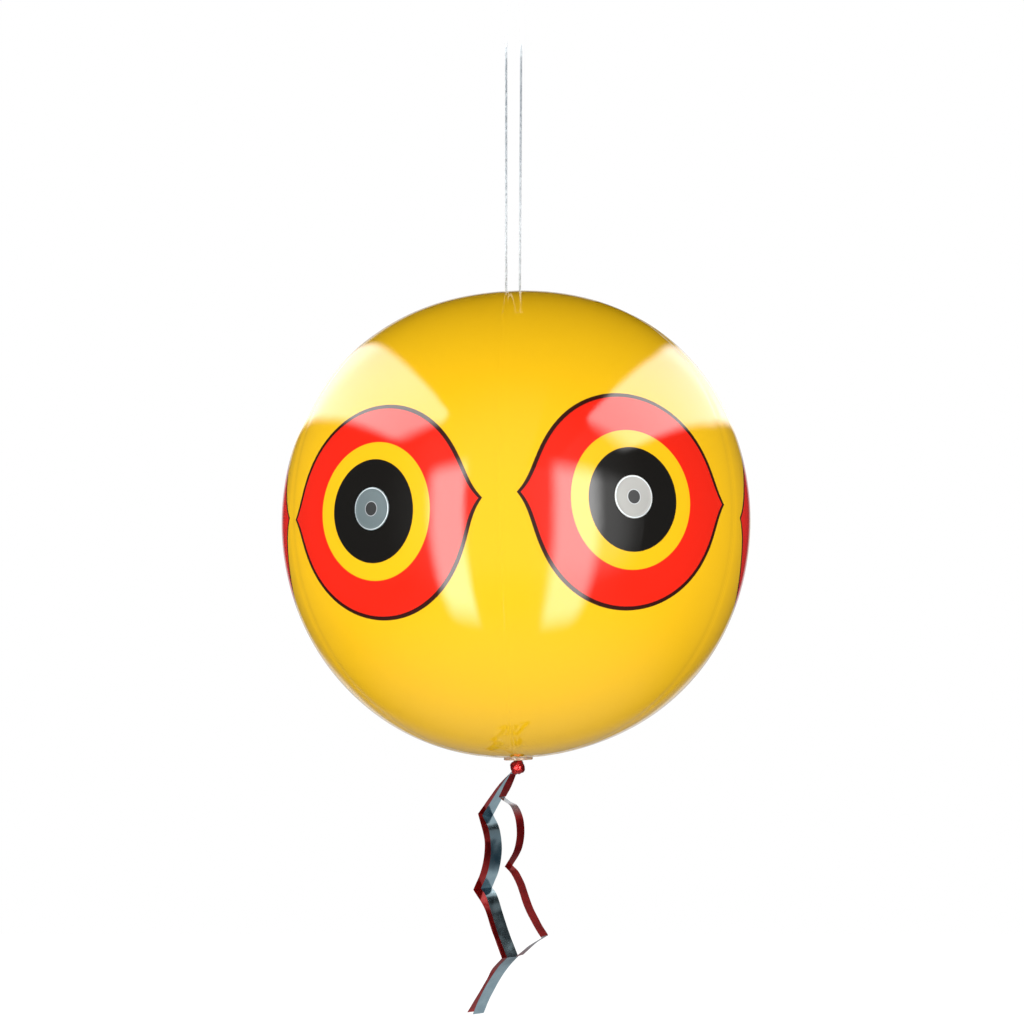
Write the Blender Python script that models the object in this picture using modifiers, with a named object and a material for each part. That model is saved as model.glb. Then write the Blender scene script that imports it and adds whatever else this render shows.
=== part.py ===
"""Hanging bird scare balloon.

A round inflatable of six welded film gores, each printed with a staring eye whose pupil is a foil disc.
A moulded eyelet closes each pole: the upper one hangs from a loop of cord, and crinkled foil ribbons are
knotted to the lower one. Sizes are in metres. The origin is where a hook bears in the crown of the cord
loop, +Z is up, and the side with the middle seam faces -Y.
"""

import math

import bmesh
import bpy
from mathutils import Matrix, Vector

# Driving sizes of the ball
BALL_R = 0.1996
SHELL_T = 0.010
BALL_CENTRE = Vector((0.0014, 0.0, -0.499))
BALL_TILT = math.radians(-0.63)

# How the blown-up film departs from a sphere, as shares of its radius: squarer, flat on top, and swollen
# at one shoulder and low on the other side, each swelling at an angle up from +X
SQUARENESS = 0.0047
TOP_FLATTENING = 0.030
TOP_FLATTENING_SPREAD = 8
SWELLINGS = (
    {"angle": math.radians(56.6), "height": 0.0192, "spread": 3.5},
    {"angle": math.radians(248.5), "height": 0.0089, "spread": 16},
)

# Gores: the longitude of each welded seam, in degrees from the front round by the right
SEAMS = tuple(math.radians(a) for a in (-3.4, 60.1, 119.0, 177.9, 236.7, 295.6, 356.6))
GORES = len(SEAMS) - 1
GORE_ACROSS = 8
GORE_UP = 24
POLE_HOLE_R = 0.008

# The middle of each gore's printed eye, where its foil pupil sits: latitude and longitude in degrees
EYES = ((-1.1, 25.8), (-3.3, 91.5), (-2.0, 148.5), (-2.0, 207.3), (-1.8, 266.4), (-2.6, 327.1))
FOIL_R = 0.0162
FOIL_T = 0.0004

# Clear space between pieces that touch
GAP = 0.0003

# Eyelets at the poles
FLANGE_R = 0.0122
FLANGE_T = 0.0016
FLANGE_EDGE = 0.0005
TAB_FOOT = 0.0008
TOP_TAB = {"hole_r": 0.0018, "wall": 0.0016, "hole_up": 0.0024, "thickness": 0.0020}
BOTTOM_TAB = {"hole_r": 0.0013, "wall": 0.0013, "hole_up": 0.0022, "thickness": 0.0020}

# Filling valve, low on the gore at the back
VALVE_GORE = 2
VALVE_LATITUDE = math.radians(-55)
VALVE_LONGITUDE = 0.5 * (SEAMS[VALVE_GORE] + SEAMS[VALVE_GORE + 1])
VALVE_HOLE_R = 0.0050
VALVE_FLANGE_R = 0.0110
VALVE_FLANGE_T = 0.0008
VALVE_STEM_R = VALVE_HOLE_R - GAP
VALVE_STEM_L = 0.0080
VALVE_BORE_R = 0.0026
PLUG_CAP_R = 0.0062
PLUG_CAP_T = 0.0018
PLUG_CAP_EDGE = 0.0004
PLUG_PIN_R = VALVE_BORE_R - GAP
PLUG_PIN_L = 0.0060
PLUG_TAB = Vector((0.0060, 0.0050, 0.0010))
PLUG_TAB_REACH = 0.0038

# Hanging cord: one long loop, narrow at the eyelet and a little wider at the crown
CORD_R = 0.0011
BIGHT_R = 0.0060
CROWN_R = 0.00695
CORD_KNOT_R = 0.0032
CORD_KNOT_Z = -0.0096
CORD_TAIL_L = 0.0100
CORD_TAIL_TURNS = (math.radians(62), math.radians(118))

# Foil ribbons, knotted under the lower eyelet
RIBBON_W = 0.011
RIBBON_T = 0.0004
KNOT_SIZE = Vector((0.0120, 0.0110, 0.0110))
KNOT_PLACE = Vector((-0.0008, 0.0, -0.2071))

# Each bend of a ribbon: across, away from the front and up from the ball's centre in millimetres, and the
# share of its width that is spread out there, since it is gathered at the knot. It is creased at its folds,
# given by their places in the list, and curves smoothly between them
LONG_RIBBON_TURN = math.radians(33)
SHORT_RIBBON_TURN = math.radians(54)
FRONT_FOLDS = (2, 7, 11)
BACK_FOLDS = (2, 5, 8)
SHORT_FOLDS = (2, 9, 14)
RIBBON_STEPS = 3
FRONT_RIBBON = [
    (-2.5, 3, -211.5, 0.36), (-9.5, 13, -223.5, 0.73), (-24, 35.5, -249.5, 1), (-18.5, 27.5, -260.5, 1),
    (-16.5, 24.5, -274, 1), (-17, 25, -285, 1), (-19.5, 28.5, -297, 1), (-25, 37.5, -311, 1),
    (-20.5, 29.5, -316.5, 1), (-15.5, 22.5, -330.5, 1), (-10, 14.5, -345.5, 1), (-2.5, 3, -362.5, 1),
    (-9.5, 14, -371.5, 1), (-17.5, 25.5, -384.5, 1), (-26.5, 39.5, -403, 1), (-32, 48, -417, 1),
]
BACK_RIBBON = [
    (-1.5, 4.5, -211, 0.36), (-11.5, 21, -223.5, 0.73), (-28, 47, -249, 1), (-22, 37.5, -272, 1),
    (-24.5, 41.5, -294.5, 1), (-32, 53, -314, 1), (-22, 37.5, -327.5, 1), (-16, 28.5, -343.5, 1),
    (-7, 15, -365, 1), (-15.5, 28, -376.5, 1), (-20.5, 35.5, -387, 1), (-37, 60.5, -418, 1),
]
SHORT_RIBBON = [
    (-1, -1.5, -213.3, 0.32), (-6.5, 1.5, -223.5, 0.73), (-11.5, 6, -232.5, 0.9), (-7.5, 3, -235.5, 1),
    (-1.5, -1.5, -239, 1), (2.5, -4.5, -247.5, 1), (4, -5.5, -257.5, 1), (3.5, -5, -267, 1),
    (1, -3.5, -276.5, 1), (-6, 1.5, -288.5, 1), (-0.5, -2, -294, 1), (4.5, -6, -303.5, 1),
    (10, -10.5, -319, 1), (16.5, -15, -331.5, 1), (23.5, -20, -342.5, 1), (14, -13, -349.5, 1),
    (3, -8, -359.5, 1),
]

MM = 0.001
UP = Vector((0.0, 0.0, 1.0))

for old in list(bpy.data.objects):
    bpy.data.objects.remove(old, do_unlink=True)

parts = bpy.data.collections.new("bird_scare_balloon")
tools = bpy.data.collections.new("cutters")
for group in (parts, tools):
    bpy.context.scene.collection.children.link(group)


def material(name, colour, roughness, metallic=0.0):
    """A Principled material of one colour."""
    made = bpy.data.materials.new(name)
    made.use_nodes = True
    shader = made.node_tree.nodes["Principled BSDF"]
    shader.inputs["Base Color"].default_value = (*colour, 1.0)
    shader.inputs["Roughness"].default_value = roughness
    shader.inputs["Metallic"].default_value = metallic
    return made


YELLOW_FILM = (0.95, 0.62, 0.02)
CLEAR_PVC = (0.80, 0.72, 0.55)
SILVER_FOIL = (0.62, 0.68, 0.72)
RED_FOIL = (0.55, 0.01, 0.03)
CLEAR_CORD = (0.80, 0.84, 0.88)


def link(obj, colour, roughness, metallic=0.0, parent=None, group=parts):
    """Puts an object in its collection, with its own material, under its parent."""
    group.objects.link(obj)
    if group is parts:
        obj.data.materials.append(material(obj.name, colour, roughness, metallic))
    else:
        obj.hide_render = True
        obj.display_type = "WIRE"
    obj.parent = parent
    return obj


def empty(name, location, parent=None):
    """An empty that carries the pieces of one body."""
    made = bpy.data.objects.new(name, None)
    parts.objects.link(made)
    made.location = location
    made.parent = parent
    return made


def mesh_of(name, bm):
    """The bmesh as a smooth-shaded mesh."""
    mesh = bpy.data.meshes.new(name)
    bm.to_mesh(mesh)
    bm.free()
    mesh.shade_smooth()
    mesh.set_sharp_from_angle(angle=math.radians(35))
    return mesh


def turned_bmesh(profile, steps):
    """A solid of revolution about Z: the profile runs from the top of the axis down the outer side."""
    bm = bmesh.new()
    line = [bm.verts.new((r, 0.0, z)) for r, z in profile]
    edges = [bm.edges.new(pair) for pair in zip(line, line[1:])]
    bmesh.ops.spin(
        bm, geom=line + edges, axis=UP, cent=(0, 0, 0), angle=math.tau, steps=steps, use_merge=False
    )
    bmesh.ops.remove_doubles(bm, verts=bm.verts, dist=1e-6)
    bmesh.ops.recalc_face_normals(bm, faces=bm.faces)
    return bm


def add_boolean(obj, other, operation):
    """An exact Boolean of obj with other."""
    cut = obj.modifiers.new(operation.title(), "BOOLEAN")
    cut.operation = operation
    cut.solver = "EXACT"
    cut.object = other


def direction(latitude, longitude):
    """The unit vector at a latitude and a longitude, which runs from the front round by the right."""
    flat = math.cos(latitude)
    return Vector((flat * math.sin(longitude), -flat * math.cos(longitude), math.sin(latitude)))


def film_radius(towards):
    """How far the outside of the inflated film is from the ball's centre."""
    latitude = math.asin(max(-1.0, min(1.0, towards.z)))
    share = 1.0 - SQUARENESS * math.cos(4.0 * latitude)
    share -= TOP_FLATTENING * max(towards.z, 0.0) ** TOP_FLATTENING_SPREAD
    for swelling in SWELLINGS:
        along = towards.x * math.cos(swelling["angle"]) + towards.z * math.sin(swelling["angle"])
        share += swelling["height"] * max(along, 0.0) ** swelling["spread"]
    return BALL_R * share


def pole_height(x, y, side):
    """How far above (side 1) or below (side -1) the ball's centre the film is at a place near that pole."""
    towards = Vector((x, y, side * math.sqrt(BALL_R ** 2 - x ** 2 - y ** 2))).normalized()
    return film_radius(towards) * abs(towards.z)


def ball_point(x, height):
    """The world place of a point in the ball's own frame, by its place across and over the ball's centre."""
    return BALL_CENTRE + Matrix.Rotation(BALL_TILT, 3, "Y") @ Vector((x, 0.0, height))


# The balloon rocks where the cord bears in the upper edge of the top eyelet's hole, and the streamer swings
# about the middle of its knot
ROCK_AXIS = ball_point(
    0.0, pole_height(0.0, 0.0, 1) + GAP + FLANGE_T + TOP_TAB["hole_up"] + TOP_TAB["hole_r"] - GAP - CORD_R
)
STREAMER_AXIS = ball_point(KNOT_PLACE.x, KNOT_PLACE.z)

cord_axis = empty("cord_axis", (0.0, 0.0, 0.0))
balloon_axis = empty("balloon_axis", ROCK_AXIS)
ball = empty("ball_centre", BALL_CENTRE - ROCK_AXIS, balloon_axis)
ball.rotation_euler.y = BALL_TILT
streamer_axis = empty("streamer_axis", STREAMER_AXIS)


def add_gore(gore):
    """One gore: a block bent into a wedge of the shell, with the seam's gap at each side."""
    middle = 0.5 * (SEAMS[gore] + SEAMS[gore + 1])
    half = 0.5 * (SEAMS[gore + 1] - SEAMS[gore])
    bm = bmesh.new()
    bmesh.ops.create_cube(bm, size=2.0)
    for axis, pieces in ((0, GORE_ACROSS), (1, GORE_UP)):
        long_edges = [e for e in bm.edges if abs(e.verts[0].co[axis] - e.verts[1].co[axis]) > 1.0]
        bmesh.ops.subdivide_edges(bm, edges=long_edges, cuts=pieces - 1, use_grid_fill=True)
    last_latitude = math.acos(POLE_HOLE_R / BALL_R)
    for v in bm.verts:
        across, up, out = v.co
        latitude = up * last_latitude
        seam = math.asin(0.5 * GAP / (BALL_R * math.cos(latitude)))
        towards = direction(latitude, middle + across * (half - seam))
        v.co = towards * (film_radius(towards) - (SHELL_T if out < 0.0 else 0.0))
    obj = bpy.data.objects.new(f"gore_{gore + 1}", mesh_of(f"gore_{gore + 1}", bm))
    return link(obj, YELLOW_FILM, 0.12, parent=ball)


def stand_on_film(obj, latitude, longitude):
    """Puts an object's origin on the film and its +Z along the way out."""
    towards = direction(latitude, longitude)
    obj.location = towards * film_radius(towards)
    obj.rotation_mode = "QUATERNION"
    obj.rotation_quaternion = towards.to_track_quat("Z", "Y")


def add_pupil(gore):
    """The foil disc in the middle of an eye, curved as the film under it."""
    steps = 4
    low, high = BALL_R + GAP, BALL_R + GAP + FOIL_T
    angles = [FOIL_R / BALL_R * i / steps for i in range(steps + 1)]
    upper = [(high * math.sin(a), high * math.cos(a) - BALL_R) for a in angles]
    lower = [(low * math.sin(a), low * math.cos(a) - BALL_R) for a in reversed(angles)]
    name = f"foil_pupil_{gore + 1}"
    obj = bpy.data.objects.new(name, mesh_of(name, turned_bmesh(upper + lower, 32)))
    link(obj, SILVER_FOIL, 0.2, 1.0, ball)
    stand_on_film(obj, *(math.radians(a) for a in EYES[gore]))


def tab_outline(tab, foot):
    """A flat upright tab with a round head and its hole, as a filled curve in the XY plane."""
    head = tab["hole_r"] + tab["wall"]
    arc = [math.pi * i / 12 for i in range(13)]
    outer = [(head * math.cos(a), tab["hole_up"] + head * math.sin(a)) for a in arc]
    outer += [(-head, -foot), (head, -foot)]
    hole = [(tab["hole_r"] * math.cos(a), tab["hole_up"] + tab["hole_r"] * math.sin(a))
            for a in (math.tau * (i + 0.5) / 20 for i in range(20))]
    curve = bpy.data.curves.new("tab", "CURVE")
    curve.dimensions = "2D"
    curve.fill_mode = "BOTH"
    curve.extrude = 0.5 * tab["thickness"]
    for points in (outer, hole):
        spline = curve.splines.new("POLY")
        spline.points.add(len(points) - 1)
        spline.use_cyclic_u = True
        for point, (x, y) in zip(spline.points, points):
            point.co = (x, y, 0.0, 1.0)
    return curve


def solid_from_curve(name, curve, place):
    """A curve's surface as a closed mesh, moved by a matrix."""
    holder = bpy.data.objects.new(name, curve)
    bpy.context.scene.collection.objects.link(holder)
    seen = bpy.context.evaluated_depsgraph_get()
    mesh = bpy.data.meshes.new_from_object(holder.evaluated_get(seen))
    bpy.data.objects.remove(holder, do_unlink=True)
    bm = bmesh.new()
    bm.from_mesh(mesh)
    bmesh.ops.remove_doubles(bm, verts=bm.verts, dist=1e-6)
    bm.transform(place)
    return mesh_of(name, bm)


def add_eyelet(name, side, tab, turn):
    """A round flange on a pole with an upright tab; turn swings the tab's flat side round the axis."""
    top = pole_height(0.0, 0.0, side) + GAP + FLANGE_T
    rim = [(0.0, top), (FLANGE_R - FLANGE_EDGE, top), (FLANGE_R, top - FLANGE_EDGE)]
    radii = [FLANGE_R * (1.0 - i / 4) for i in range(5)]
    seat = [(r, pole_height(0.0, r, side) + GAP) for r in radii]
    flange = turned_bmesh(rim + seat, 32)
    for v in flange.verts:
        v.co.z += pole_height(v.co.x, v.co.y, side) - pole_height(0.0, math.hypot(v.co.x, v.co.y), side)
    obj = bpy.data.objects.new(name, mesh_of(name, flange))
    link(obj, CLEAR_PVC, 0.25, parent=ball)
    upright = Matrix.Translation((0, 0, top)) @ Matrix.Rotation(turn, 4, "Z")
    upright = upright @ Matrix.Rotation(math.pi / 2, 4, "X")
    tab_mesh = solid_from_curve(name + "_tab", tab_outline(tab, TAB_FOOT), upright)
    body = bpy.data.objects.new(name + "_tab", tab_mesh)
    link(body, CLEAR_PVC, 0.25, parent=ball, group=tools)
    add_boolean(obj, body, "UNION")
    if side < 0:
        for turned_over in (obj, body):
            turned_over.rotation_euler.x = math.pi


def add_valve():
    """The pushed-in filling valve: its hole in the gore, the flanged stem and the plug with its lift tab."""
    reach = 2 * SHELL_T
    cutter_mesh = turned_bmesh(
        [(0.0, reach), (VALVE_HOLE_R, reach), (VALVE_HOLE_R, -reach), (0.0, -reach)], 24
    )
    cutter = bpy.data.objects.new("valve_hole", mesh_of("valve_hole", cutter_mesh))
    link(cutter, YELLOW_FILM, 0.2, parent=ball, group=tools)
    base_top = GAP + VALVE_FLANGE_T
    sag = VALVE_FLANGE_R ** 2 / (2 * BALL_R)
    base = turned_bmesh([
        (VALVE_BORE_R, base_top), (VALVE_FLANGE_R - GAP, base_top), (VALVE_FLANGE_R, base_top - sag - GAP),
        (VALVE_FLANGE_R, GAP - sag), (VALVE_STEM_R, GAP), (VALVE_STEM_R, -VALVE_STEM_L),
        (VALVE_BORE_R, -VALVE_STEM_L), (VALVE_BORE_R, base_top),
    ], 32)
    base_obj = bpy.data.objects.new("valve_base", mesh_of("valve_base", base))
    link(base_obj, CLEAR_PVC, 0.25, parent=ball)
    cap_low = base_top + GAP
    plug = turned_bmesh([
        (0.0, cap_low + PLUG_CAP_T), (PLUG_CAP_R - PLUG_CAP_EDGE, cap_low + PLUG_CAP_T),
        (PLUG_CAP_R, cap_low + PLUG_CAP_T - PLUG_CAP_EDGE), (PLUG_CAP_R, cap_low), (PLUG_PIN_R, cap_low),
        (PLUG_PIN_R, -PLUG_PIN_L), (0.0, -PLUG_PIN_L),
    ], 32)
    plug_obj = bpy.data.objects.new("valve_plug", mesh_of("valve_plug", plug))
    link(plug_obj, CLEAR_PVC, 0.25, parent=ball)
    lift = bmesh.new()
    bmesh.ops.create_cube(lift, size=1.0)
    bmesh.ops.scale(lift, vec=PLUG_TAB, verts=lift.verts)
    middle = PLUG_CAP_R + PLUG_TAB_REACH - 0.5 * PLUG_TAB.x
    bmesh.ops.translate(lift, vec=(middle, 0.0, cap_low + 0.5 * PLUG_TAB.z), verts=lift.verts)
    lift_obj = bpy.data.objects.new("plug_tab", mesh_of("plug_tab", lift))
    link(lift_obj, CLEAR_PVC, 0.25, parent=ball, group=tools)
    add_boolean(plug_obj, lift_obj, "UNION")
    for piece in (cutter, base_obj, plug_obj, lift_obj):
        stand_on_film(piece, VALVE_LATITUDE, VALVE_LONGITUDE)
    add_boolean(gores[VALVE_GORE], cutter, "DIFFERENCE")


gores = [add_gore(i) for i in range(GORES)]
for gore_number in range(GORES):
    add_pupil(gore_number)
add_eyelet("top_eyelet", 1, TOP_TAB, math.pi / 2)
add_eyelet("bottom_eyelet", -1, BOTTOM_TAB, 0.0)
add_valve()


def tube(name, points, radius, colour, parent):
    """A round cord along its points."""
    curve = bpy.data.curves.new(name, "CURVE")
    curve.dimensions = "3D"
    curve.bevel_depth = radius
    curve.bevel_resolution = 2
    curve.use_fill_caps = True
    spline = curve.splines.new("POLY")
    spline.points.add(len(points) - 1)
    for point, place in zip(spline.points, points):
        point.co = (*place, 1.0)
    return link(bpy.data.objects.new(name, curve), colour, 0.3, parent=parent)


def cord_route():
    """From under the knot down the right strand, through the eyelet, up the left strand and over the crown."""
    low_centre = ROCK_AXIS + Vector((0.0, 0.0, BIGHT_R))
    high_centre = Vector((0.0, 0.0, CORD_R - CROWN_R))
    low_right = low_centre + Vector((BIGHT_R, 0.0, 0.0))
    high_right = high_centre + Vector((CROWN_R, 0.0, 0.0))
    below_knot = CORD_KNOT_Z - CORD_KNOT_R - GAP
    start = high_right.lerp(low_right, (high_right.z - below_knot) / (high_right.z - low_right.z))
    bight = [low_centre + Vector((BIGHT_R * math.cos(a), 0.0, -BIGHT_R * math.sin(a)))
             for a in (math.pi * i / 12 for i in range(13))]
    crown = [high_centre + Vector((-CROWN_R * math.cos(a), 0.0, CROWN_R * math.sin(a)))
             for a in (math.pi * i / 12 for i in range(13))]
    return [start, *bight, *crown]


tube("hanging_cord", cord_route(), CORD_R, CLEAR_CORD, cord_axis)


def rounded(name, size, place, colour, roughness, metallic, parent):
    """A rounded lump, such as a knot."""
    bm = bmesh.new()
    bmesh.ops.create_uvsphere(bm, u_segments=20, v_segments=12, radius=0.5)
    bmesh.ops.scale(bm, vec=size, verts=bm.verts)
    obj = link(bpy.data.objects.new(name, mesh_of(name, bm)), colour, roughness, metallic, parent)
    obj.location = place
    return obj


def add_cord_knot():
    """The knot that closes the loop, with the cord's two cut ends standing out of it."""
    place = Vector((CROWN_R, 0.0, CORD_KNOT_Z))
    size = 2 * CORD_KNOT_R * Vector((1.0, 1.0, 1.0))
    cord_knot = rounded("cord_knot", size, place, CLEAR_CORD, 0.3, 0.0, cord_axis)
    for number, turn in enumerate(CORD_TAIL_TURNS):
        bm = bmesh.new()
        bmesh.ops.create_cone(
            bm, cap_ends=True, segments=10, radius1=CORD_R, radius2=CORD_R, depth=CORD_TAIL_L
        )
        bmesh.ops.translate(bm, vec=(0.0, 0.0, 0.5 * CORD_TAIL_L), verts=bm.verts)
        bmesh.ops.rotate(bm, matrix=Matrix.Rotation(turn, 3, "Y"), verts=bm.verts)
        tail = bpy.data.objects.new(f"cord_tail_{number}", mesh_of(f"cord_tail_{number}", bm))
        link(tail, CLEAR_CORD, 0.3, parent=cord_axis, group=tools)
        tail.location = place
        add_boolean(cord_knot, tail, "UNION")


add_cord_knot()
knot = rounded("ribbon_knot", KNOT_SIZE, KNOT_PLACE, RED_FOIL, 0.2, 1.0, ball)


def add_knot_slot():
    """Cuts the room for the lower eyelet's tab out of the knot that is drawn tight round it."""
    top = pole_height(0.0, 0.0, -1) + GAP + FLANGE_T
    reach = BOTTOM_TAB["hole_up"] + BOTTOM_TAB["hole_r"] + BOTTOM_TAB["wall"] + GAP
    bm = bmesh.new()
    bmesh.ops.create_cube(bm, size=1.0)
    wide = 2 * (BOTTOM_TAB["hole_r"] + BOTTOM_TAB["wall"] + GAP)
    bmesh.ops.scale(bm, vec=(wide, BOTTOM_TAB["thickness"] + 2 * GAP, reach + GAP), verts=bm.verts)
    slot = bpy.data.objects.new("knot_slot", mesh_of("knot_slot", bm))
    link(slot, RED_FOIL, 0.2, parent=ball, group=tools)
    slot.location = (0.0, 0.0, -(top - GAP) - 0.5 * (reach + GAP))
    add_boolean(knot, slot, "DIFFERENCE")


add_knot_slot()


def smooth_run(run):
    """Stations along a smooth curve through the bends between two folds, without the last one."""
    ends = [2 * run[0] - run[1], *run, 2 * run[-1] - run[-2]]
    stations = []
    for a, b, c, d in zip(ends, ends[1:], ends[2:], ends[3:]):
        for i in range(RIBBON_STEPS):
            t = i / RIBBON_STEPS
            slope, bend, twist = c - a, 2 * a - 5 * b + 4 * c - d, 3 * b - a - 3 * c + d
            stations.append(b + 0.5 * (slope * t + bend * t ** 2 + twist * t ** 3))
    return stations


def add_ribbon(name, bends, folds, turn, colour):
    """A foil strip whose cross line is level all along, turned away from the front by an angle."""
    bends = [Vector(bend) for bend in bends]
    stations = []
    for start, end in zip((0, *folds), (*folds, len(bends) - 1)):
        stations += smooth_run(bends[start:end + 1])
    stations.append(bends[-1])
    bm = bmesh.new()
    bmesh.ops.create_grid(bm, x_segments=len(stations) - 1, y_segments=1, size=1.0)
    level = Vector((math.cos(turn), math.sin(turn), 0.0))
    step = 2.0 / (len(stations) - 1)
    for v in bm.verts:
        x, y, z, spread = stations[round((v.co.x + 1.0) / step)]
        middle = BALL_CENTRE - STREAMER_AXIS + Vector((x, y, z)) * MM
        v.co = middle + level * (0.5 * RIBBON_W * spread * v.co.y)
    obj = bpy.data.objects.new(name, mesh_of(name, bm))
    thick = obj.modifiers.new("Thickness", "SOLIDIFY")
    thick.thickness = RIBBON_T
    thick.offset = 0.0
    thick.use_even_offset = True
    return link(obj, colour, 0.2, 1.0, streamer_axis)


add_ribbon("long_ribbon_front", FRONT_RIBBON, FRONT_FOLDS, LONG_RIBBON_TURN, SILVER_FOIL)
add_ribbon("long_ribbon_back", BACK_RIBBON, BACK_FOLDS, LONG_RIBBON_TURN, RED_FOIL)
add_ribbon("short_ribbon", SHORT_RIBBON, SHORT_FOLDS, SHORT_RIBBON_TURN, RED_FOIL)
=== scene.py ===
"""The hanging bird scare balloon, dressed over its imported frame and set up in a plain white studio.

Sizes are in metres unless a name says MM. The ball, the cord's route and the ribbons repeat the values of the
part's source, so each piece lies where its solid lies.
"""

import math

import bmesh
import bpy
from mathutils import Matrix, Vector, noise


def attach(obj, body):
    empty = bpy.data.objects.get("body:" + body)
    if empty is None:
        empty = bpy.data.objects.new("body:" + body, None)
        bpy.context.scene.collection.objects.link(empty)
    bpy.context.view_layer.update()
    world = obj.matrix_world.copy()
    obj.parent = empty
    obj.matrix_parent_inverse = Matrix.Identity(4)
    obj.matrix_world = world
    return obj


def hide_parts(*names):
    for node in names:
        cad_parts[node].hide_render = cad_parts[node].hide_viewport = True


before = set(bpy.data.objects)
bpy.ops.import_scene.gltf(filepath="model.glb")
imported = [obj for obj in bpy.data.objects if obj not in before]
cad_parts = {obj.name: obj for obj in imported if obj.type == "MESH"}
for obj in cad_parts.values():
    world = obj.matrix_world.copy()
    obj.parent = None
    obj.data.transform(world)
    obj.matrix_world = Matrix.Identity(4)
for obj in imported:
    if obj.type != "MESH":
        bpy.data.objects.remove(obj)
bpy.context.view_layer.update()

MM = 0.001
UP = Vector((0.0, 0.0, 1.0))

# The ball and its film, as in the part's source. Each eye is at its gore's latitude and longitude in degrees
BALL_R = 0.1996
BALL_CENTRE = Vector((0.0014, 0.0, -0.499))
BALL_TURN = Matrix.Rotation(math.radians(-0.63), 4, "Y")
BALL_PLACE = Matrix.Translation(BALL_CENTRE) @ BALL_TURN
SQUARENESS = 0.0047
TOP_FLATTENING = 0.030
TOP_FLATTENING_SPREAD = 8
SWELLINGS = (
    {"angle": math.radians(56.6), "height": 0.0192, "spread": 3.5},
    {"angle": math.radians(248.5), "height": 0.0089, "spread": 16},
)
SEAMS = tuple(math.radians(a) for a in (-3.4, 60.1, 119.0, 177.9, 236.7, 295.6, 356.6))
GORES = len(SEAMS) - 1
EYES = ((-1.1, 25.8), (-3.3, 91.5), (-2.0, 148.5), (-2.0, 207.3), (-1.8, 266.4), (-2.6, 327.1))
GAP = 0.0003

# How the print lies on each gore: laid out on a ball of this radius, moved from the middle of the pupil in millimetres,
# turned, and stretched away from the middle seam, per metre
PRINT_BALL_R = 0.2
PRINT_MOVES = {0: (0.9, -1.5), 5: (-0.9, -1.5)}
PRINT_MOVE = (0.0, -1.5)
PRINT_TURNS = {5: math.radians(0.6)}
PRINT_STRETCHES = {0: 0.52, 5: -0.52}


def direction(latitude, longitude):
    """The unit vector at a latitude and a longitude, which runs from the front round by the right."""
    flat = math.cos(latitude)
    return Vector((flat * math.sin(longitude), -flat * math.cos(longitude), math.sin(latitude)))


def eye_axes(gore):
    """The way out, east and north at the middle of a gore's eye."""
    latitude, longitude = (math.radians(a) for a in EYES[gore])
    middle = direction(latitude, longitude)
    east = Vector((math.cos(longitude), math.sin(longitude), 0.0))
    return middle, east, middle.cross(east)


def film_radius(towards):
    """How far the outside of the inflated film is from the ball's centre."""
    latitude = math.asin(max(-1.0, min(1.0, towards.z)))
    share = 1.0 - SQUARENESS * math.cos(4.0 * latitude)
    share -= TOP_FLATTENING * max(towards.z, 0.0) ** TOP_FLATTENING_SPREAD
    for swelling in SWELLINGS:
        along = towards.x * math.cos(swelling["angle"]) + towards.z * math.sin(swelling["angle"])
        share += swelling["height"] * max(along, 0.0) ** swelling["spread"]
    return BALL_R * share


def pole_height(x, y, side):
    """How far above (side 1) or below (side -1) the ball's centre the film is at a place near that pole."""
    towards = Vector((x, y, side * math.sqrt(BALL_R ** 2 - x ** 2 - y ** 2))).normalized()
    return film_radius(towards) * abs(towards.z)


# Camera, where the photograph was taken from: low, looking up a little

CAMERA_PLACE = (-0.00173, -1.2308, -0.65078)
CAMERA_PITCH = math.radians(7.449)
CAMERA_LENS = 50.73

lens = bpy.data.cameras.new("camera")
lens.lens = CAMERA_LENS
lens.sensor_width = 36.0
camera = bpy.data.objects.new("camera", lens)
bpy.context.scene.collection.objects.link(camera)
camera.location = CAMERA_PLACE
camera.rotation_euler = (0.5 * math.pi + CAMERA_PITCH, 0.0, 0.0)
bpy.context.scene.camera = camera


# Materials

class Tree:
    """The nodes of a material or of the world, with one way to add any of them."""

    def __init__(self, owner):
        owner.use_nodes = True
        self.nodes = owner.node_tree.nodes
        self.links = owner.node_tree.links

    def join(self, socket, value):
        """Gives a socket a link or a fixed value."""
        if isinstance(value, Wire):
            self.links.new(value.socket, socket)
        else:
            socket.default_value = value

    def node(self, kind, settings=None, inputs=None, output=0):
        """Adds a node, sets it up, then fills its sockets, and gives one of its outputs."""
        made = self.nodes.new(kind)
        for name, value in (settings or {}).items():
            setattr(made, name, value)
        for name, value in (inputs or {}).items():
            self.join(made.inputs[name], value)
        return Wire(self, made.outputs[output])

    def maths(self, operation, *values):
        """A Math node."""
        return self.node("ShaderNodeMath", {"operation": operation}, dict(enumerate(values)))

    def mix(self, share, first, second):
        """One colour turning into another."""
        return self.node("ShaderNodeMix", {"data_type": "RGBA"}, {0: share, 6: first, 7: second}, 2)

    def grain(self, where, scale, detail=2.0):
        """Noise from 0 to 1 at a scale in lumps a metre."""
        return self.node("ShaderNodeTexNoise", {}, {"Vector": where, "Scale": scale, "Detail": detail})


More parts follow.
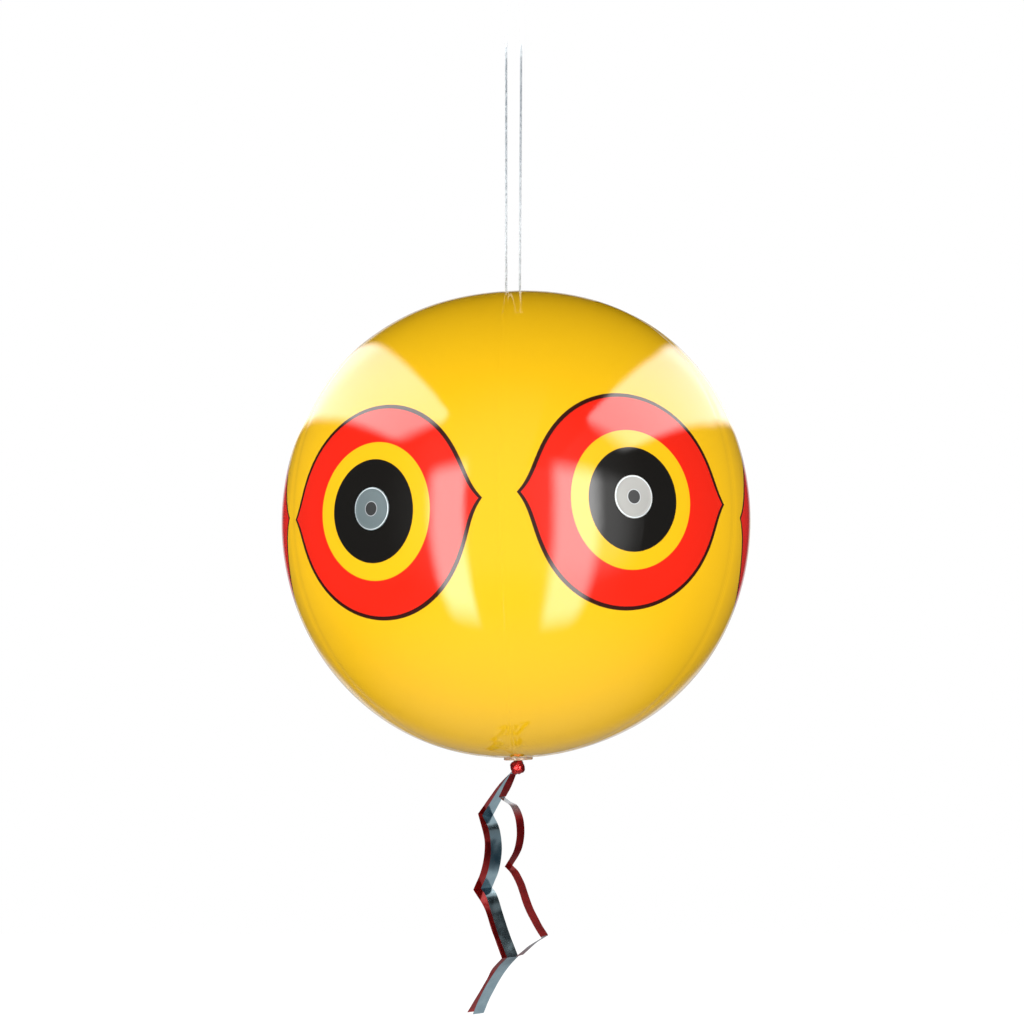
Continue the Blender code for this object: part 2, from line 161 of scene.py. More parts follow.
class Wire:
    """What a node puts out, so that shader maths is written as plain expressions."""

    def __init__(self, tree, socket):
        self.tree = tree
        self.socket = socket

    def __add__(self, other):
        return self.tree.maths("ADD", self, other)

    def __sub__(self, other):
        return self.tree.maths("SUBTRACT", self, other)

    def __rsub__(self, other):
        return self.tree.maths("SUBTRACT", other, self)

    def __mul__(self, other):
        return self.tree.maths("MULTIPLY", self, other)

    def __truediv__(self, other):
        return self.tree.maths("DIVIDE", self, other)

    def __pow__(self, other):
        return self.tree.maths("POWER", self, other)

    __radd__ = __add__
    __rmul__ = __mul__

    def ramp(self, start, end, low=0.0, high=1.0):
        """A smooth change from low to high as this value goes from start to end."""
        values = {"Value": self, "From Min": start, "From Max": end, "To Min": low, "To Max": high}
        return self.tree.node("ShaderNodeMapRange", {"interpolation_type": "SMOOTHSTEP"}, values)

    def within(self, edge, blur):
        """1 where this value is under an edge, with the edge blurred by a little."""
        return (self - edge).ramp(blur, -blur)


def finish_material(name, fixed):
    """A Principled material with its fixed values, and its tree."""
    made = bpy.data.materials.new(name)
    tree = Tree(made)
    tree.surface = tree.nodes["Principled BSDF"]
    for socket, value in fixed.items():
        tree.surface.inputs[socket].default_value = value
    return made, tree


def shape_bump(tree, height, distance, strength):
    """Lets a height in 0 to 1 raise the surface by a distance."""
    values = {"Strength": strength, "Distance": distance, "Height": height}
    tree.join(tree.surface.inputs["Normal"], tree.node("ShaderNodeBump", {}, values))


FILM_YELLOW = (0.72, 0.413, 0.008, 1.0)
EYE_RED = (0.68, 0.016, 0.006, 1.0)
OUTLINE_BROWN = (0.030, 0.006, 0.004, 1.0)
DISC_BLACK = (0.008, 0.007, 0.006, 1.0)

# The printed eye, in millimetres from the middle of its disc
DISC_WIDE, DISC_HIGH = 38.1, 39.4
RING_WIDE, RING_HIGH = 52.2, 52.8
OUTLINE_R = 84.0
OUTLINE_DROP = 0.2
OUTLINE_BAND = 3.3
TIP_REACH = 11.5
TIP_SHARPNESS = 7.5
TIP_TURN = 1.9
PRINT_BLUR = 0.35

# The pupils' foil, in millimetres from the middle: a dot, a pale ring round it, and a pale rim that is a painted
# highlight on the pressed rim
DOT_R = 5.1
PALE_RING_R = 5.7
RIM_INNER_R, RIM_OUTER_R = 15.0, 15.7
FOIL_BLUR = 0.15
DOT_GREY = (0.07, 0.07, 0.07, 1.0)
RING_GREY = (0.55, 0.56, 0.57, 1.0)
RIM_PAINTED_HIGHLIGHT = (0.72, 0.76, 0.78, 1.0)
# Two tones of the one pupil foil, given to every other gore: a painted difference in the light that the pupils mirror
BLUISH_SILVER = (0.215, 0.265, 0.275, 1.0)
PALE_SILVER = (0.40, 0.395, 0.375, 1.0)

AMBER_DEEP = (0.36, 0.24, 0.15, 1.0)
AMBER_PALE = (0.46, 0.32, 0.22, 1.0)

# The cord's grey, and the white that it pales to at random and, as painted light, towards its ends
CORD_GREY = (0.20, 0.225, 0.25, 1.0)
CORD_WHITE = (0.84, 0.89, 0.92, 1.0)

# The ribbons' foil, deep and light in patches, and a whitish painted reflection that is laid over the red one in places
SILVER_DEEP, SILVER_LIGHT = (0.50, 0.70, 0.80, 1.0), (0.62, 0.84, 0.92, 1.0)
RED_DEEP, RED_LIGHT = (0.44, 0.008, 0.008, 1.0), (0.66, 0.024, 0.022, 1.0)
PAINTED_REFLECTION_WHITE = (0.86, 0.92, 0.97, 1.0)


def printed_film():
    """Glossy yellow PVC film, printed with the eyes and welded along its seams."""
    made, tree = finish_material("printed_pvc_film", {"Roughness": 0.06, "IOR": 1.5})
    place = tree.node("ShaderNodeUVMap", {"uv_map": "eye_print"})
    across = tree.node("ShaderNodeSeparateXYZ", {}, {0: place}) * (1 / MM)
    up = tree.node("ShaderNodeSeparateXYZ", {}, {0: place}, 1) * (1 / MM)
    side = tree.maths("ABSOLUTE", across)
    disc = tree.maths("SQRT", (across / DISC_WIDE) ** 2 + (up / DISC_HIGH) ** 2) * DISC_WIDE
    ring = tree.maths("SQRT", (across / RING_WIDE) ** 2 + (up / RING_HIGH) ** 2) * RING_WIDE
    risen = up + OUTLINE_DROP
    reach = tree.maths("SQRT", across ** 2 + risen ** 2)
    turn = tree.maths("ABSOLUTE", tree.maths("ARCTAN2", risen, side) - math.radians(TIP_TURN))
    edge = tree.maths("EXPONENT", turn / -math.radians(TIP_SHARPNESS)) * TIP_REACH + OUTLINE_R
    past_edge = reach - edge
    colour = tree.mix(past_edge.within(0.0, PRINT_BLUR), FILM_YELLOW, OUTLINE_BROWN)
    colour = tree.mix(past_edge.within(-OUTLINE_BAND, PRINT_BLUR), colour, EYE_RED)
    colour = tree.mix(ring.within(RING_WIDE, PRINT_BLUR), colour, FILM_YELLOW)
    colour = tree.mix(disc.within(DISC_WIDE, PRINT_BLUR), colour, DISC_BLACK)
    tree.join(tree.surface.inputs["Base Color"], colour)
    where = tree.node("ShaderNodeTexCoord", {}, {}, "Object")
    shape_bump(tree, tree.grain(where, 45.0, 3.0), 0.00012, 0.5)
    return made


def foil_disc(name, silver):
    """Silver foil of the pupils: a pale rim, painted as a highlight, and a grey dot with a pale ring round it."""
    made, tree = finish_material(name, {"Metallic": 1.0, "Roughness": 0.65})
    place = tree.node("ShaderNodeUVMap", {"uv_map": "disc"})
    reach = tree.node("ShaderNodeVectorMath", {"operation": "LENGTH"}, {0: place}, "Value") * (1 / MM)
    dot = reach.within(DOT_R, FOIL_BLUR)
    ring = reach.within(PALE_RING_R, FOIL_BLUR) - dot
    # The pressed rim's paleness is a painted highlight
    rim = reach.within(RIM_OUTER_R, FOIL_BLUR) - reach.within(RIM_INNER_R, FOIL_BLUR)
    colour = tree.mix(dot, tree.mix(ring, silver, RING_GREY), DOT_GREY)
    tree.join(tree.surface.inputs["Base Color"], tree.mix(rim, colour, RIM_PAINTED_HIGHLIGHT))
    where = tree.node("ShaderNodeTexCoord", {}, {}, "Object")
    shape_bump(tree, tree.grain(where, 900.0, 3.0), 0.00004, 0.6)
    return made


def clear_pvc():
    """Moulded clear PVC, faintly amber and cloudy."""
    fixed = {"Roughness": 0.22, "IOR": 1.53, "Subsurface Weight": 0.3, "Subsurface Scale": 0.002}
    made, tree = finish_material("moulded_clear_pvc", fixed)
    where = tree.node("ShaderNodeTexCoord", {}, {}, "Object")
    cloud = tree.grain(where, 180.0).ramp(0.35, 0.65)
    tree.join(tree.surface.inputs["Base Color"], tree.mix(cloud, AMBER_DEEP, AMBER_PALE))
    shape_bump(tree, tree.grain(where, 700.0), 0.00003, 0.4)
    return made


def twisted_cord():
    """Clear monofilament plies, cloudy at random: greyest a hand's breadth below the crown, and paler towards both
    ends, where the paleness is painted light on the clear cord.
    """
    made, tree = finish_material("twisted_clear_cord", {"Roughness": 0.25, "IOR": 1.4})
    where = tree.node("ShaderNodeTexCoord", {}, {}, "Object")
    height = tree.node("ShaderNodeSeparateXYZ", {}, {0: where}, 2)
    cloud = tree.grain(where, 600.0).ramp(0.3, 0.7, 0.0, 0.3)
    # Paler near the crown and near the ball: painted light, where the clear cord washes out in the bright studio
    cloud = cloud + height.ramp(-0.14, -0.25, 0.0, 0.36) + height.ramp(-0.09, -0.05)
    tree.join(tree.surface.inputs["Base Color"], tree.mix(cloud, CORD_GREY, CORD_WHITE))
    return made


def ribbon_foil(name, deep, light, metallic, lacquer):
    """Lightly crinkled metallised film under a clear lacquer, with a whitish painted reflection mixed in by a share
    that a ribbon carries.
    """
    made, tree = finish_material(name, {"Metallic": metallic, "Coat Weight": lacquer, "Coat Roughness": 0.06})
    where = tree.node("ShaderNodeTexCoord", {}, {}, "Object")
    patch = tree.grain(where, 90.0)
    front = tree.mix(patch.ramp(0.3, 0.7), deep, light)
    painted_reflection_share = tree.node("ShaderNodeAttribute", {"attribute_name": "painted_reflection_share"}, {}, "Fac")
    # The whitish mix is a painted reflection: a bright glare on the shallow runs of the short ribbon
    tree.join(tree.surface.inputs["Base Color"], tree.mix(painted_reflection_share, front, PAINTED_REFLECTION_WHITE))
    tree.join(tree.surface.inputs["Roughness"], patch.ramp(0.3, 0.7, 0.16, 0.26))
    shape_bump(tree, tree.grain(where, 160.0, 1.0), 0.00005, 0.5)
    return made


film = printed_film()
bluish_pupil_foil = foil_disc("bluish_pupil_foil", BLUISH_SILVER)
pale_pupil_foil = foil_disc("pale_pupil_foil", PALE_SILVER)
moulded = clear_pvc()
cord_plies = twisted_cord()
silver_foil = ribbon_foil("silver_ribbon_foil", SILVER_DEEP, SILVER_LIGHT, 1.0, 1.0)
red_foil = ribbon_foil("red_ribbon_foil", RED_DEEP, RED_LIGHT, 0.85, 0.5)


# Helpers for the pieces

def add_piece(name, mesh, material, smooth=True):
    """A mesh as a piece of the scene at the origin."""
    obj = bpy.data.objects.new(name, mesh)
    bpy.context.scene.collection.objects.link(obj)
    mesh.materials.clear()
    mesh.materials.append(material)
    if smooth:
        mesh.shade_smooth()
    return obj


def make_real(obj):
    """Makes an object's modifiers real."""
    seen = bpy.context.evaluated_depsgraph_get()
    mesh = bpy.data.meshes.new_from_object(obj.evaluated_get(seen))
    obj.modifiers.clear()
    obj.data = mesh


def dress(obj, body, slot, *nodes):
    """Lets a piece ride on its body and stand for CAD nodes, whose solids it hides; the slot is not used."""
    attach(obj, body)
    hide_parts(*nodes)


# The envelope: its columns are closer together near the welds, here in millimetres from them, and its rows near the
# poles, in degrees

WELD_COLUMNS = (0.0, 0.7, 1.4, 2.1, 3.2, 4.8, 7.0, 10.0)
PLAIN_COLUMNS = 30
WELD_ROOM_MM = 35.0
FINE_POLE = 14.0

VALLEY_DEPTH, VALLEY_WIDE = 0.0004, 0.0045
WELD_RISE, WELD_AWAY, WELD_WIDE = 0.00016, 0.0012, 0.0005
SWELL_DEPTH, SWELL_SCALE = 0.00025, 3.0
TOP_PUCKER, BOTTOM_PUCKER = 0.00035, 0.00008
PUCKER_R, PUCKER_WIDE = 0.022, 0.012


def film_rows():
    """Latitudes of the envelope's rows in degrees, closer together near the poles."""
    rows = [-90.0 + 0.5 * i for i in range(1, int(2 * FINE_POLE))]
    rows += [-90.0 + FINE_POLE + i for i in range(int(180 - 2 * FINE_POLE) + 1)]
    rows += [90.0 - FINE_POLE + 0.5 * i for i in range(1, int(2 * FINE_POLE))]
    return [math.radians(row) for row in rows]


def gore_columns(gore, latitude):
    """Longitudes across one gore at a latitude, and how far each is from its seam."""
    left, right = SEAMS[gore], SEAMS[gore + 1]
    metre = 1.0 / (BALL_R * math.cos(latitude))
    half = 0.5 * (right - left)
    shrink = min(1.0, half / metre / MM / WELD_ROOM_MM)
    near = [m * MM * shrink * metre for m in WELD_COLUMNS]
    plain = [near[-1] + (2 * half - 2 * near[-1]) * i / PLAIN_COLUMNS for i in range(1, PLAIN_COLUMNS)]
    offsets = near + plain + [2 * half - a for a in reversed(near)]
    return [(left + a, min(a, 2 * half - a) / metre) for a in offsets]


def film_relief(towards, seam_gap):
    """How far the film stands off its plain round shape: the welds lie in valleys, and it puckers at the poles."""
    shallow = min(1.0, math.hypot(towards.x, towards.y) / 0.6)
    relief = -VALLEY_DEPTH * shallow * math.exp(-(seam_gap / VALLEY_WIDE) ** 2)
    relief += WELD_RISE * math.exp(-((seam_gap - WELD_AWAY) / WELD_WIDE) ** 2)
    relief += SWELL_DEPTH * noise.noise(towards * SWELL_SCALE)
    out = math.hypot(towards.x, towards.y) * BALL_R
    pucker = math.exp(-((out - PUCKER_R) / PUCKER_WIDE) ** 2)
    longitude = math.atan2(towards.x, -towards.y)
    ripple = math.cos(18 * longitude) + 0.6 * math.cos(29 * longitude + 1.0)
    depth = TOP_PUCKER if towards.z > 0.0 else BOTTOM_PUCKER
    return relief + depth * pucker * (ripple - 0.6)


def eye_place(gore, towards):
    """Where a point of the film lies on its gore's flat print, from the middle of the eye."""
    middle, east, north = eye_axes(gore)
    turn = math.acos(max(-1.0, min(1.0, towards.dot(middle))))
    flat = Vector((towards.dot(east), towards.dot(north)))
    if flat.length > 1e-9:
        flat *= turn * PRINT_BALL_R / flat.length
    stretch = PRINT_STRETCHES.get(gore, 0.0)
    if stretch:
        flat.x = (math.sqrt(1.0 + 4.0 * stretch * flat.x) - 1.0) / (2.0 * stretch)
    flat -= Vector(PRINT_MOVES.get(gore, PRINT_MOVE)) * MM
    flat.rotate(Matrix.Rotation(-PRINT_TURNS.get(gore, 0.0), 2))
    return flat


def make_envelope():
    """The closed film: six gores in one skin, each with its own print."""
    rows = film_rows()
    points, towards_of = [], []
    width = 0
    for latitude in rows:
        line = []
        for gore in range(GORES):
            line += gore_columns(gore, latitude)[:-1]
        width = len(line)
        for longitude, seam_gap in line:
            towards = direction(latitude, longitude)
            towards_of.append(towards)
            points.append(BALL_PLACE @ (towards * (film_radius(towards) + film_relief(towards, seam_gap))))
    for side in (-1, 1):
        towards_of.append(UP * side)
        points.append(BALL_PLACE @ (UP * side * film_radius(UP * side)))
    faces, gore_of = [], []
    across = width // GORES
    last = len(rows) - 1
    for column in range(width):
        after = (column + 1) % width
        gore_of += [column // across] * (last + 2)
        faces.append((len(points) - 2, after, column))
        for row in range(last):
            low, high = row * width, (row + 1) * width
            faces.append((low + column, low + after, high + after, high + column))
        faces.append((last * width + column, last * width + after, len(points) - 1))
    mesh = bpy.data.meshes.new("envelope")
    mesh.from_pydata(points, [], faces)
    print_map = mesh.uv_layers.new(name="eye_print")
    places = []
    known = {}
    for face, gore in zip(faces, gore_of):
        for corner in face:
            key = (gore, corner)
            if key not in known:
                known[key] = eye_place(gore, towards_of[corner])
            places.extend(known[key])
    print_map.data.foreach_set("uv", places)
    obj = add_piece("envelope", mesh, film)
    dress(obj, "balloon", "yellow_film", *(f"gore_{i + 1}" for i in range(GORES)))


make_envelope()


# Foil pupils: how far each ring is from the middle, and how high it stands off the film, in millimetres

PUPIL_RINGS = (0.0, 2.5, 4.9, 5.3, 6.0, 9.0, 12.5, 14.2, 14.6, 15.2, 15.7, 16.0, 16.2, 16.2, 16.0)
PUPIL_RISE = (0.30, 0.30, 0.30, 0.24, 0.30, 0.30, 0.30, 0.30, 0.40, 0.48, 0.40, 0.30, 0.22, 0.04, 0.0)
PUPIL_STEPS = 96


def film_point(middle, east, north, x, y):
    """A point on the film, x and y along it from a middle, and the way out there."""
    reach = math.hypot(x, y)
    along = (east * x + north * y) / reach if reach else east
    towards = middle * math.cos(reach / BALL_R) + along * math.sin(reach / BALL_R)
    return towards * film_radius(towards), towards


def make_pupil(gore):
    """A foil disc that follows the film, with a pressed rim and a shallow dot."""
    middle, east, north = eye_axes(gore)
    points, places, faces = [], [], []
    for ring, rise in zip(PUPIL_RINGS, PUPIL_RISE):
        for step in range(PUPIL_STEPS):
            turn = math.tau * step / PUPIL_STEPS
            x, y = ring * MM * math.cos(turn), ring * MM * math.sin(turn)
            place, out = film_point(middle, east, north, x, y)
            points.append(BALL_PLACE @ (place + out * (rise * MM + GAP)))
            places.append((x, y))
    for ring in range(len(PUPIL_RINGS) - 1):
        for step in range(PUPIL_STEPS):
            after = (step + 1) % PUPIL_STEPS
            low, high = ring * PUPIL_STEPS, (ring + 1) * PUPIL_STEPS
            faces.append((low + after, low + step, high + step, high + after))
    mesh = bpy.data.meshes.new(f"pupil_{gore + 1}")
    mesh.from_pydata(points, [], faces)
    disc_map = mesh.uv_layers.new(name="disc")
    for loop in mesh.loops:
        disc_map.data[loop.index].uv = places[loop.vertex_index]
    bm = bmesh.new()
    bm.from_mesh(mesh)
    bmesh.ops.remove_doubles(bm, verts=bm.verts, dist=1e-7)
    bm.to_mesh(mesh)
    bm.free()
    # Every other pupil takes the other tone of the same foil, a painted reflection
    obj = add_piece(f"pupil_{gore + 1}", mesh, bluish_pupil_foil if gore % 2 else pale_pupil_foil)
    dress(obj, "balloon", "foil_silver", f"foil_pupil_{gore + 1}")


for gore_number in range(GORES):
    make_pupil(gore_number)


# Moulded pieces: the eyelets at the poles, and the filling valve with its plug

EDGE_STEPS = 6
TURNED_STEPS = 96
FLANGE_R = 0.0122
FLANGE_T = 0.0016
FLANGE_ROUND = 0.0006
TAB_FOOT = 0.0008
TAB_ROUND = 0.0004
TOP_TAB = {"hole_r": 0.0018, "wall": 0.0016, "hole_up": 0.0024, "thickness": 0.0020}
BOTTOM_TAB = {"hole_r": 0.0013, "wall": 0.0013, "hole_up": 0.0022, "thickness": 0.0020}
COLLAR_R = 0.0046
COLLAR_H = 0.0005
SMALL_ROUND = 0.0003
SHARP_ANGLE = math.radians(40)
VALVE_PLACE = (math.radians(-55), 0.5 * (SEAMS[2] + SEAMS[3]))
VALVE_FLANGE_R = 0.0110
VALVE_FLANGE_T = 0.0008
VALVE_STEM_R = 0.0047
VALVE_STEM_L = 0.0080
VALVE_BORE_R = 0.0026
PLUG_CAP_R = 0.0062
PLUG_CAP_T = 0.0018
PLUG_PIN_L = 0.0060
PLUG_TAB = Vector((0.0060, 0.0050, 0.0010))
PLUG_TAB_REACH = 0.0038


def rounded_edge(r, z, size):
    """Profile points round an outer edge, from its top face to its side."""
    turns = [0.5 * math.pi * i / EDGE_STEPS for i in range(EDGE_STEPS + 1)]
    return [(r - size + size * math.sin(a), z - size + size * math.cos(a)) for a in turns]


def turned(profile):
    """A bmesh turned about Z from a profile that runs from the top of the axis down the outer side."""
    bm = bmesh.new()
    line = [bm.verts.new((r, 0.0, z)) for r, z in profile]
    edges = [bm.edges.new(pair) for pair in zip(line, line[1:])]
    bmesh.ops.spin(
        bm, geom=line + edges, axis=UP, cent=(0, 0, 0), angle=math.tau, steps=TURNED_STEPS, use_merge=False
    )
    bmesh.ops.remove_doubles(bm, verts=bm.verts, dist=1e-6)
    bmesh.ops.recalc_face_normals(bm, faces=bm.faces)
    return bm


def loose_object(name, bm):
    """A bmesh as an object that is still being worked on."""
    mesh = bpy.data.meshes.new(name)
    bm.to_mesh(mesh)
    bm.free()
    obj = bpy.data.objects.new(name, mesh)
    bpy.context.scene.collection.objects.link(obj)
    return obj


def joined(name, body, other, place, material):
    """Two closed solids made one by an exact union, moved to their place."""
    union = body.modifiers.new("Union", "BOOLEAN")
    union.operation = "UNION"
    union.solver = "EXACT"
    union.object = other
    make_real(body)
    bpy.data.objects.remove(other, do_unlink=True)
    mesh = body.data
    bpy.data.objects.remove(body, do_unlink=True)
    mesh.transform(place)
    obj = add_piece(name, mesh, material)
    mesh.set_sharp_from_angle(angle=SHARP_ANGLE)
    return obj


def rounded_tab(tab, place):
    """A flat upright tab with a round head, its hole and rounded edges."""
    head = tab["hole_r"] + tab["wall"] - TAB_ROUND
    hole_r = tab["hole_r"] + TAB_ROUND
    arc = [math.pi * i / 32 for i in range(33)]
    outer = [(head * math.cos(a), tab["hole_up"] + head * math.sin(a)) for a in arc]
    outer += [(-head, -TAB_FOOT), (head, -TAB_FOOT)]
    hole = [(hole_r * math.cos(a), tab["hole_up"] + hole_r * math.sin(a))
            for a in (math.tau * (i + 0.5) / 48 for i in range(48))]
    curve = bpy.data.curves.new("tab", "CURVE")
    curve.dimensions = "2D"
    curve.fill_mode = "BOTH"
    curve.extrude = 0.5 * tab["thickness"] - TAB_ROUND
    curve.bevel_depth = TAB_ROUND
    curve.bevel_resolution = 3
    for points in (outer, hole):
        spline = curve.splines.new("POLY")
        spline.points.add(len(points) - 1)
        spline.use_cyclic_u = True
        for point, (x, y) in zip(spline.points, points):
            point.co = (x, y, 0.0, 1.0)
    holder = bpy.data.objects.new("tab", curve)
    bpy.context.scene.collection.objects.link(holder)
    seen = bpy.context.evaluated_depsgraph_get()
    mesh = bpy.data.meshes.new_from_object(holder.evaluated_get(seen))
    bpy.data.objects.remove(holder, do_unlink=True)
    bm = bmesh.new()
    bm.from_mesh(mesh)
    bmesh.ops.remove_doubles(bm, verts=bm.verts, dist=1e-6)
    bm.transform(place)
    return loose_object("tab", bm)


def make_eyelet(name, side, tab, turn, node):
    """A round flange lying on a pole, with a low collar and the tab that stands on it."""
    top = pole_height(0.0, 0.0, side) + GAP + FLANGE_T
    collar = [(0.0, top + COLLAR_H), *rounded_edge(COLLAR_R, top + COLLAR_H, SMALL_ROUND)]
    collar += [(COLLAR_R + 0.0001, top + 0.00012), (COLLAR_R + 0.0004, top)]
    rim = rounded_edge(FLANGE_R, top, FLANGE_ROUND)
    seat = [(r, pole_height(0.0, r, side) + GAP) for r in (FLANGE_R * (1.0 - i / 8) for i in range(9))]
    flange = turned(collar + rim + seat)
    for v in flange.verts:
        v.co.z += pole_height(v.co.x, v.co.y, side) - pole_height(0.0, math.hypot(v.co.x, v.co.y), side)
    upright = Matrix.Translation((0, 0, top)) @ Matrix.Rotation(turn, 4, "Z")
    upright = upright @ Matrix.Rotation(math.pi / 2, 4, "X")
    over = Matrix.Rotation(math.pi, 4, "X") if side < 0 else Matrix.Identity(4)
    obj = joined(name, loose_object("flange", flange), rounded_tab(tab, upright), BALL_PLACE @ over, moulded)
    dress(obj, "balloon", "clear_pvc", node)


def on_film(latitude, longitude):
    """The place of a piece that stands on the film, with its +Z along the way out."""
    towards = direction(latitude, longitude)
    turn = towards.to_track_quat("Z", "Y").to_matrix().to_4x4()
    return BALL_PLACE @ Matrix.Translation(towards * film_radius(towards)) @ turn


def make_valve():
    """The valve's flange and stem, and the plug with its lift tab."""
    base_top = GAP + VALVE_FLANGE_T
    sag = VALVE_FLANGE_R ** 2 / (2 * BALL_R)
    base = turned([
        (VALVE_BORE_R, base_top), (PLUG_CAP_R + 0.0006, base_top),
        *rounded_edge(VALVE_FLANGE_R, base_top - 0.5 * sag, SMALL_ROUND),
        (VALVE_FLANGE_R, GAP - sag), (VALVE_STEM_R, GAP), (VALVE_STEM_R, -VALVE_STEM_L),
        (VALVE_BORE_R, -VALVE_STEM_L), (VALVE_BORE_R, base_top),
    ])
    place = on_film(*VALVE_PLACE)
    base.transform(place)
    mesh = bpy.data.meshes.new("filling_valve")
    base.to_mesh(mesh)
    base.free()
    obj = add_piece("filling_valve", mesh, moulded)
    mesh.set_sharp_from_angle(angle=SHARP_ANGLE)
    dress(obj, "balloon", "clear_pvc", "valve_base")
    cap_low = base_top + GAP
    cap_top = cap_low + PLUG_CAP_T
    pin_r = VALVE_BORE_R - GAP
    plug = turned([
        (0.0, cap_top - 0.0004), (0.0028, cap_top - 0.0004), (0.0032, cap_top),
        *rounded_edge(PLUG_CAP_R, cap_top, 0.0005), (PLUG_CAP_R, cap_low), (pin_r, cap_low),
        (pin_r, -PLUG_PIN_L + 0.0006), (pin_r - 0.0005, -PLUG_PIN_L), (0.0, -PLUG_PIN_L),
    ])
    lift = bmesh.new()
    bmesh.ops.create_cube(lift, size=1.0)
    bmesh.ops.scale(lift, vec=PLUG_TAB, verts=lift.verts)
    corners = [e for e in lift.edges if abs(e.verts[0].co.z - e.verts[1].co.z) > 0.5 * PLUG_TAB.z]
    outer = [e for e in corners if e.verts[0].co.x > 0.0]
    bmesh.ops.bevel(lift, geom=outer, offset=0.0022, segments=8, affect="EDGES")
    flat = [e for e in lift.edges if e.calc_length() and e.is_manifold and e.calc_face_angle(0.0) > 1.0]
    bmesh.ops.bevel(lift, geom=flat, offset=0.0002, segments=2, affect="EDGES")
    middle = PLUG_CAP_R + PLUG_TAB_REACH - 0.5 * PLUG_TAB.x
    bmesh.ops.translate(lift, vec=(middle, 0.0, cap_low + 0.5 * PLUG_TAB.z), verts=lift.verts)
    obj = joined("valve_stopper", loose_object("plug", plug), loose_object("lift", lift), place, moulded)
    dress(obj, "balloon", "clear_pvc", "valve_plug")


make_eyelet("upper_eyelet", 1, TOP_TAB, math.pi / 2, "top_eyelet")
make_eyelet("lower_eyelet", -1, BOTTOM_TAB, 0.0, "bottom_eyelet")
make_valve()


# Cord: one long loop of twisted plies through the upper eyelet, closed by a knot near its crown

CORD_R = 0.0011
BIGHT_R = 0.0060
CROWN_R = 0.00695
CORD_KNOT_CENTRE = Vector((CROWN_R, 0.0, -0.0096))
CORD_KNOT_LUMP = 0.00070
CORD_TAIL_L = 0.0100
CORD_TAILS = ((math.radians(62), 0.0009), (math.radians(118), -0.0011))
ROCK_AXIS = Vector((-0.000793, 0.0, -0.299601))
PLIES = 3
PLY_R = CORD_R / (1.0 + 1.0 / math.cos(math.radians(30)))
LAY_LENGTH = 0.0052
CORD_STEP = 0.0004


def twist_tree():
    """Geometry Nodes that lay plies round a curve: each ply is the curve moved out and turned along its length."""
    tree = bpy.data.node_groups.new("twisted_cord", "GeometryNodeTree")
    tree.interface.new_socket("Geometry", in_out="INPUT", socket_type="NodeSocketGeometry")
    for name in ("Plies", "Ply Radius", "Lay Length", "Step"):
        kind = "NodeSocketInt" if name == "Plies" else "NodeSocketFloat"
        tree.interface.new_socket(name, in_out="INPUT", socket_type=kind)
    tree.interface.new_socket("Geometry", in_out="OUTPUT", socket_type="NodeSocketGeometry")

    def add(kind, settings=None, inputs=None, output=0):
        made = tree.nodes.new(kind)
        for name, value in (settings or {}).items():
            setattr(made, name, value)
        for name, value in (inputs or {}).items():
            if isinstance(value, bpy.types.NodeSocket):
                tree.links.new(value, made.inputs[name])
            else:
                made.inputs[name].default_value = value
        return made.outputs[output]

    def sums(operation, *values):
        return add("ShaderNodeMath", {"operation": operation}, dict(enumerate(values)))

    def vectors(operation, *values):
        return add("ShaderNodeVectorMath", {"operation": operation}, dict(enumerate(values)))

    def scaled(vector, size):
        return add("ShaderNodeVectorMath", {"operation": "SCALE"}, {0: vector, "Scale": size})

    given = tree.nodes.new("NodeGroupInput").outputs
    route = add(
        "GeometryNodeResampleCurve", {"mode": "LENGTH"}, {"Curve": given["Geometry"], "Length": given["Step"]}
    )
    copies = add("GeometryNodeDuplicateElements", {"domain": "SPLINE"}, {"Geometry": route, "Amount": given["Plies"]})
    number = copies.node.outputs["Duplicate Index"]
    along = add("GeometryNodeSplineParameter", {}, {}, "Length")
    turns = sums("ADD", sums("DIVIDE", along, given["Lay Length"]), sums("DIVIDE", number, given["Plies"]))
    angle = sums("MULTIPLY", turns, math.tau)
    normal = add("GeometryNodeInputNormal")
    across = vectors("CROSS_PRODUCT", add("GeometryNodeInputTangent"), normal)
    out = sums("DIVIDE", given["Ply Radius"], math.cos(math.radians(30)))
    shift = vectors("ADD", scaled(normal, sums("COSINE", angle)), scaled(across, sums("SINE", angle)))
    moved = add("GeometryNodeSetPosition", {}, {"Geometry": copies, "Offset": scaled(shift, out)})
    ring = add("GeometryNodeCurvePrimitiveCircle", {}, {"Resolution": 8, "Radius": given["Ply Radius"]})
    skin = add("GeometryNodeCurveToMesh", {}, {"Curve": moved, "Profile Curve": ring, "Fill Caps": True})
    smooth = add("GeometryNodeSetShadeSmooth", {}, {"Geometry": skin})
    real = add("GeometryNodeRealizeInstances", {}, {"Geometry": smooth})
    done = add("GeometryNodeSetMaterial", {}, {"Geometry": real, "Material": cord_plies})
    tree.links.new(done, tree.nodes.new("NodeGroupOutput").inputs["Geometry"])
    return tree


TWIST = twist_tree()


